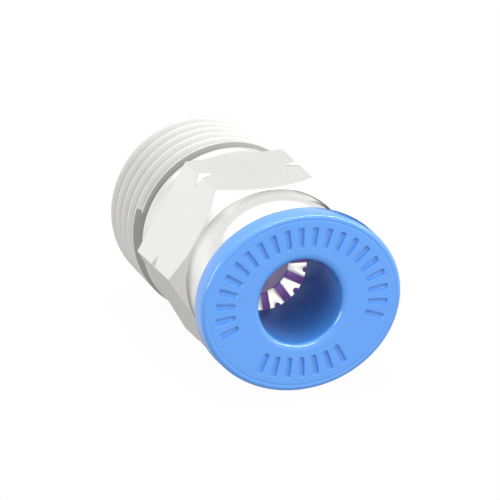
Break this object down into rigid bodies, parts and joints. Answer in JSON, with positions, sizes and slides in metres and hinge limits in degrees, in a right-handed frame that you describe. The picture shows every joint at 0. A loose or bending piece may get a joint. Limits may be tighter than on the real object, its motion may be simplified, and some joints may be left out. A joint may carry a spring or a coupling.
{
  "type": "push to connect fitting",
  "caption": "Straight push-in tube fitting: nickel-plated hex body with a tapered male thread, an oval blue release button and a ring of grip teeth inside.",
  "frame": {"origin": "on the axis, in the plane where the hex meets the thread neck", "axes": "+Y along the axis towards the thread end, the tube port faces -Y, +Z out of a hex flat and along the short side of the oval button, +X along its long side"},
  "size_m": [0.012, 0.0182, 0.0106],
  "materials": {
    "nickel_plate": "bright nickel plate on turned brass",
    "blue_plastic": "moulded acetal, satin",
    "guide_metal": "turned, nickel plated",
    "spring_steel": "bright stamped stainless",
    "violet_plastic": "moulded",
    "seal_rubber": "moulded nitrile"
  },
  "bodies": {
    "housing": {"threaded_body": "nickel_plate", "guide_sleeve": "guide_metal", "support_ring": "violet_plastic", "tube_seal": "seal_rubber"},
    "grip": {"grip_ring": "spring_steel"},
    "button": {"release_button": "blue_plastic"},
    "tooth_01": {"grip_tooth_01": "spring_steel"},
    "tooth_02": {"grip_tooth_02": "spring_steel"},
    "tooth_03": {"grip_tooth_03": "spring_steel"},
    "tooth_04": {"grip_tooth_04": "spring_steel"},
    "tooth_05": {"grip_tooth_05": "spring_steel"},
    "tooth_06": {"grip_tooth_06": "spring_steel"},
    "tooth_07": {"grip_tooth_07": "spring_steel"},
    "tooth_08": {"grip_tooth_08": "spring_steel"},
    "tooth_09": {"grip_tooth_09": "spring_steel"},
    "tooth_10": {"grip_tooth_10": "spring_steel"},
    "tooth_11": {"grip_tooth_11": "spring_steel"},
    "tooth_12": {"grip_tooth_12": "spring_steel"}
  },
  "joints": [
    {"name": "tube_swivel", "type": "hinge", "parent": "housing", "child": "grip", "pos_m": [0, -0.00517, 0], "axis": [0, 1, 0], "continuous": true},
    {"name": "button_press", "type": "slide", "parent": "grip", "child": "button", "axis": [0, 1, 0], "range_m": [0, 0.0009], "stiffness_N_per_m": 10000},
    {"name": "tooth_01_bend", "type": "hinge", "parent": "grip", "child": "tooth_01", "pos_m": [0.00062, -0.00509, 0.00324], "axis": [0.9823, 0, -0.1874], "range_deg": [0, 45.2]},
    {"name": "tooth_02_bend", "type": "hinge", "parent": "grip", "child": "tooth_02", "pos_m": [0.00216, -0.00509, 0.0025], "axis": [0.757, 0, -0.6534], "range_deg": [0, 45.2]},
    {"name": "tooth_03_bend", "type": "hinge", "parent": "grip", "child": "tooth_03", "pos_m": [0.00312, -0.00509, 0.00109], "axis": [0.3289, 0, -0.9444], "range_deg": [0, 45.2]},
    {"name": "tooth_04_bend", "type": "hinge", "parent": "grip", "child": "tooth_04", "pos_m": [0.00324, -0.00509, -0.00062], "axis": [-0.1874, 0, -0.9823], "range_deg": [0, 45.2]},
    {"name": "tooth_05_bend", "type": "hinge", "parent": "grip", "child": "tooth_05", "pos_m": [0.0025, -0.00509, -0.00216], "axis": [-0.6534, 0, -0.757], "range_deg": [0, 45.2]},
    {"name": "tooth_06_bend", "type": "hinge", "parent": "grip", "child": "tooth_06", "pos_m": [0.00109, -0.00509, -0.00312], "axis": [-0.9444, 0, -0.3289], "range_deg": [0, 45.2]},
    {"name": "tooth_07_bend", "type": "hinge", "parent": "grip", "child": "tooth_07", "pos_m": [-0.00062, -0.00509, -0.00324], "axis": [-0.9823, 0, 0.1874], "range_deg": [0, 45.2]},
    {"name": "tooth_08_bend", "type": "hinge", "parent": "grip", "child": "tooth_08", "pos_m": [-0.00216, -0.00509, -0.0025], "axis": [-0.757, 0, 0.6534], "range_deg": [0, 45.2]},
    {"name": "tooth_09_bend", "type": "hinge", "parent": "grip", "child": "tooth_09", "pos_m": [-0.00312, -0.00509, -0.00109], "axis": [-0.3289, 0, 0.9444], "range_deg": [0, 45.2]},
    {"name": "tooth_10_bend", "type": "hinge", "parent": "grip", "child": "tooth_10", "pos_m": [-0.00324, -0.00509, 0.00062], "axis": [0.1874, 0, 0.9823], "range_deg": [0, 45.2]},
    {"name": "tooth_11_bend", "type": "hinge", "parent": "grip", "child": "tooth_11", "pos_m": [-0.0025, -0.00509, 0.00216], "axis": [0.6534, 0, 0.757], "range_deg": [0, 45.2]},
    {"name": "tooth_12_bend", "type": "hinge", "parent": "grip", "child": "tooth_12", "pos_m": [-0.00109, -0.00509, 0.00312], "axis": [0.9444, 0, 0.3289], "range_deg": [0, 45.2]}
  ],
  "couplings": [
    {"joint": "tooth_01_bend", "follows": "button_press", "rad_per_m": 872.66},
    {"joint": "tooth_02_bend", "follows": "button_press", "rad_per_m": 872.66},
    {"joint": "tooth_03_bend", "follows": "button_press", "rad_per_m": 872.66},
    {"joint": "tooth_04_bend", "follows": "button_press", "rad_per_m": 872.66},
    {"joint": "tooth_05_bend", "follows": "button_press", "rad_per_m": 872.66},
    {"joint": "tooth_06_bend", "follows": "button_press", "rad_per_m": 872.66},
    {"joint": "tooth_07_bend", "follows": "button_press", "rad_per_m": 872.66},
    {"joint": "tooth_08_bend", "follows": "button_press", "rad_per_m": 872.66},
    {"joint": "tooth_09_bend", "follows": "button_press", "rad_per_m": 872.66},
    {"joint": "tooth_10_bend", "follows": "button_press", "rad_per_m": 872.66},
    {"joint": "tooth_11_bend", "follows": "button_press", "rad_per_m": 872.66},
    {"joint": "tooth_12_bend", "follows": "button_press", "rad_per_m": 872.66}
  ]
}
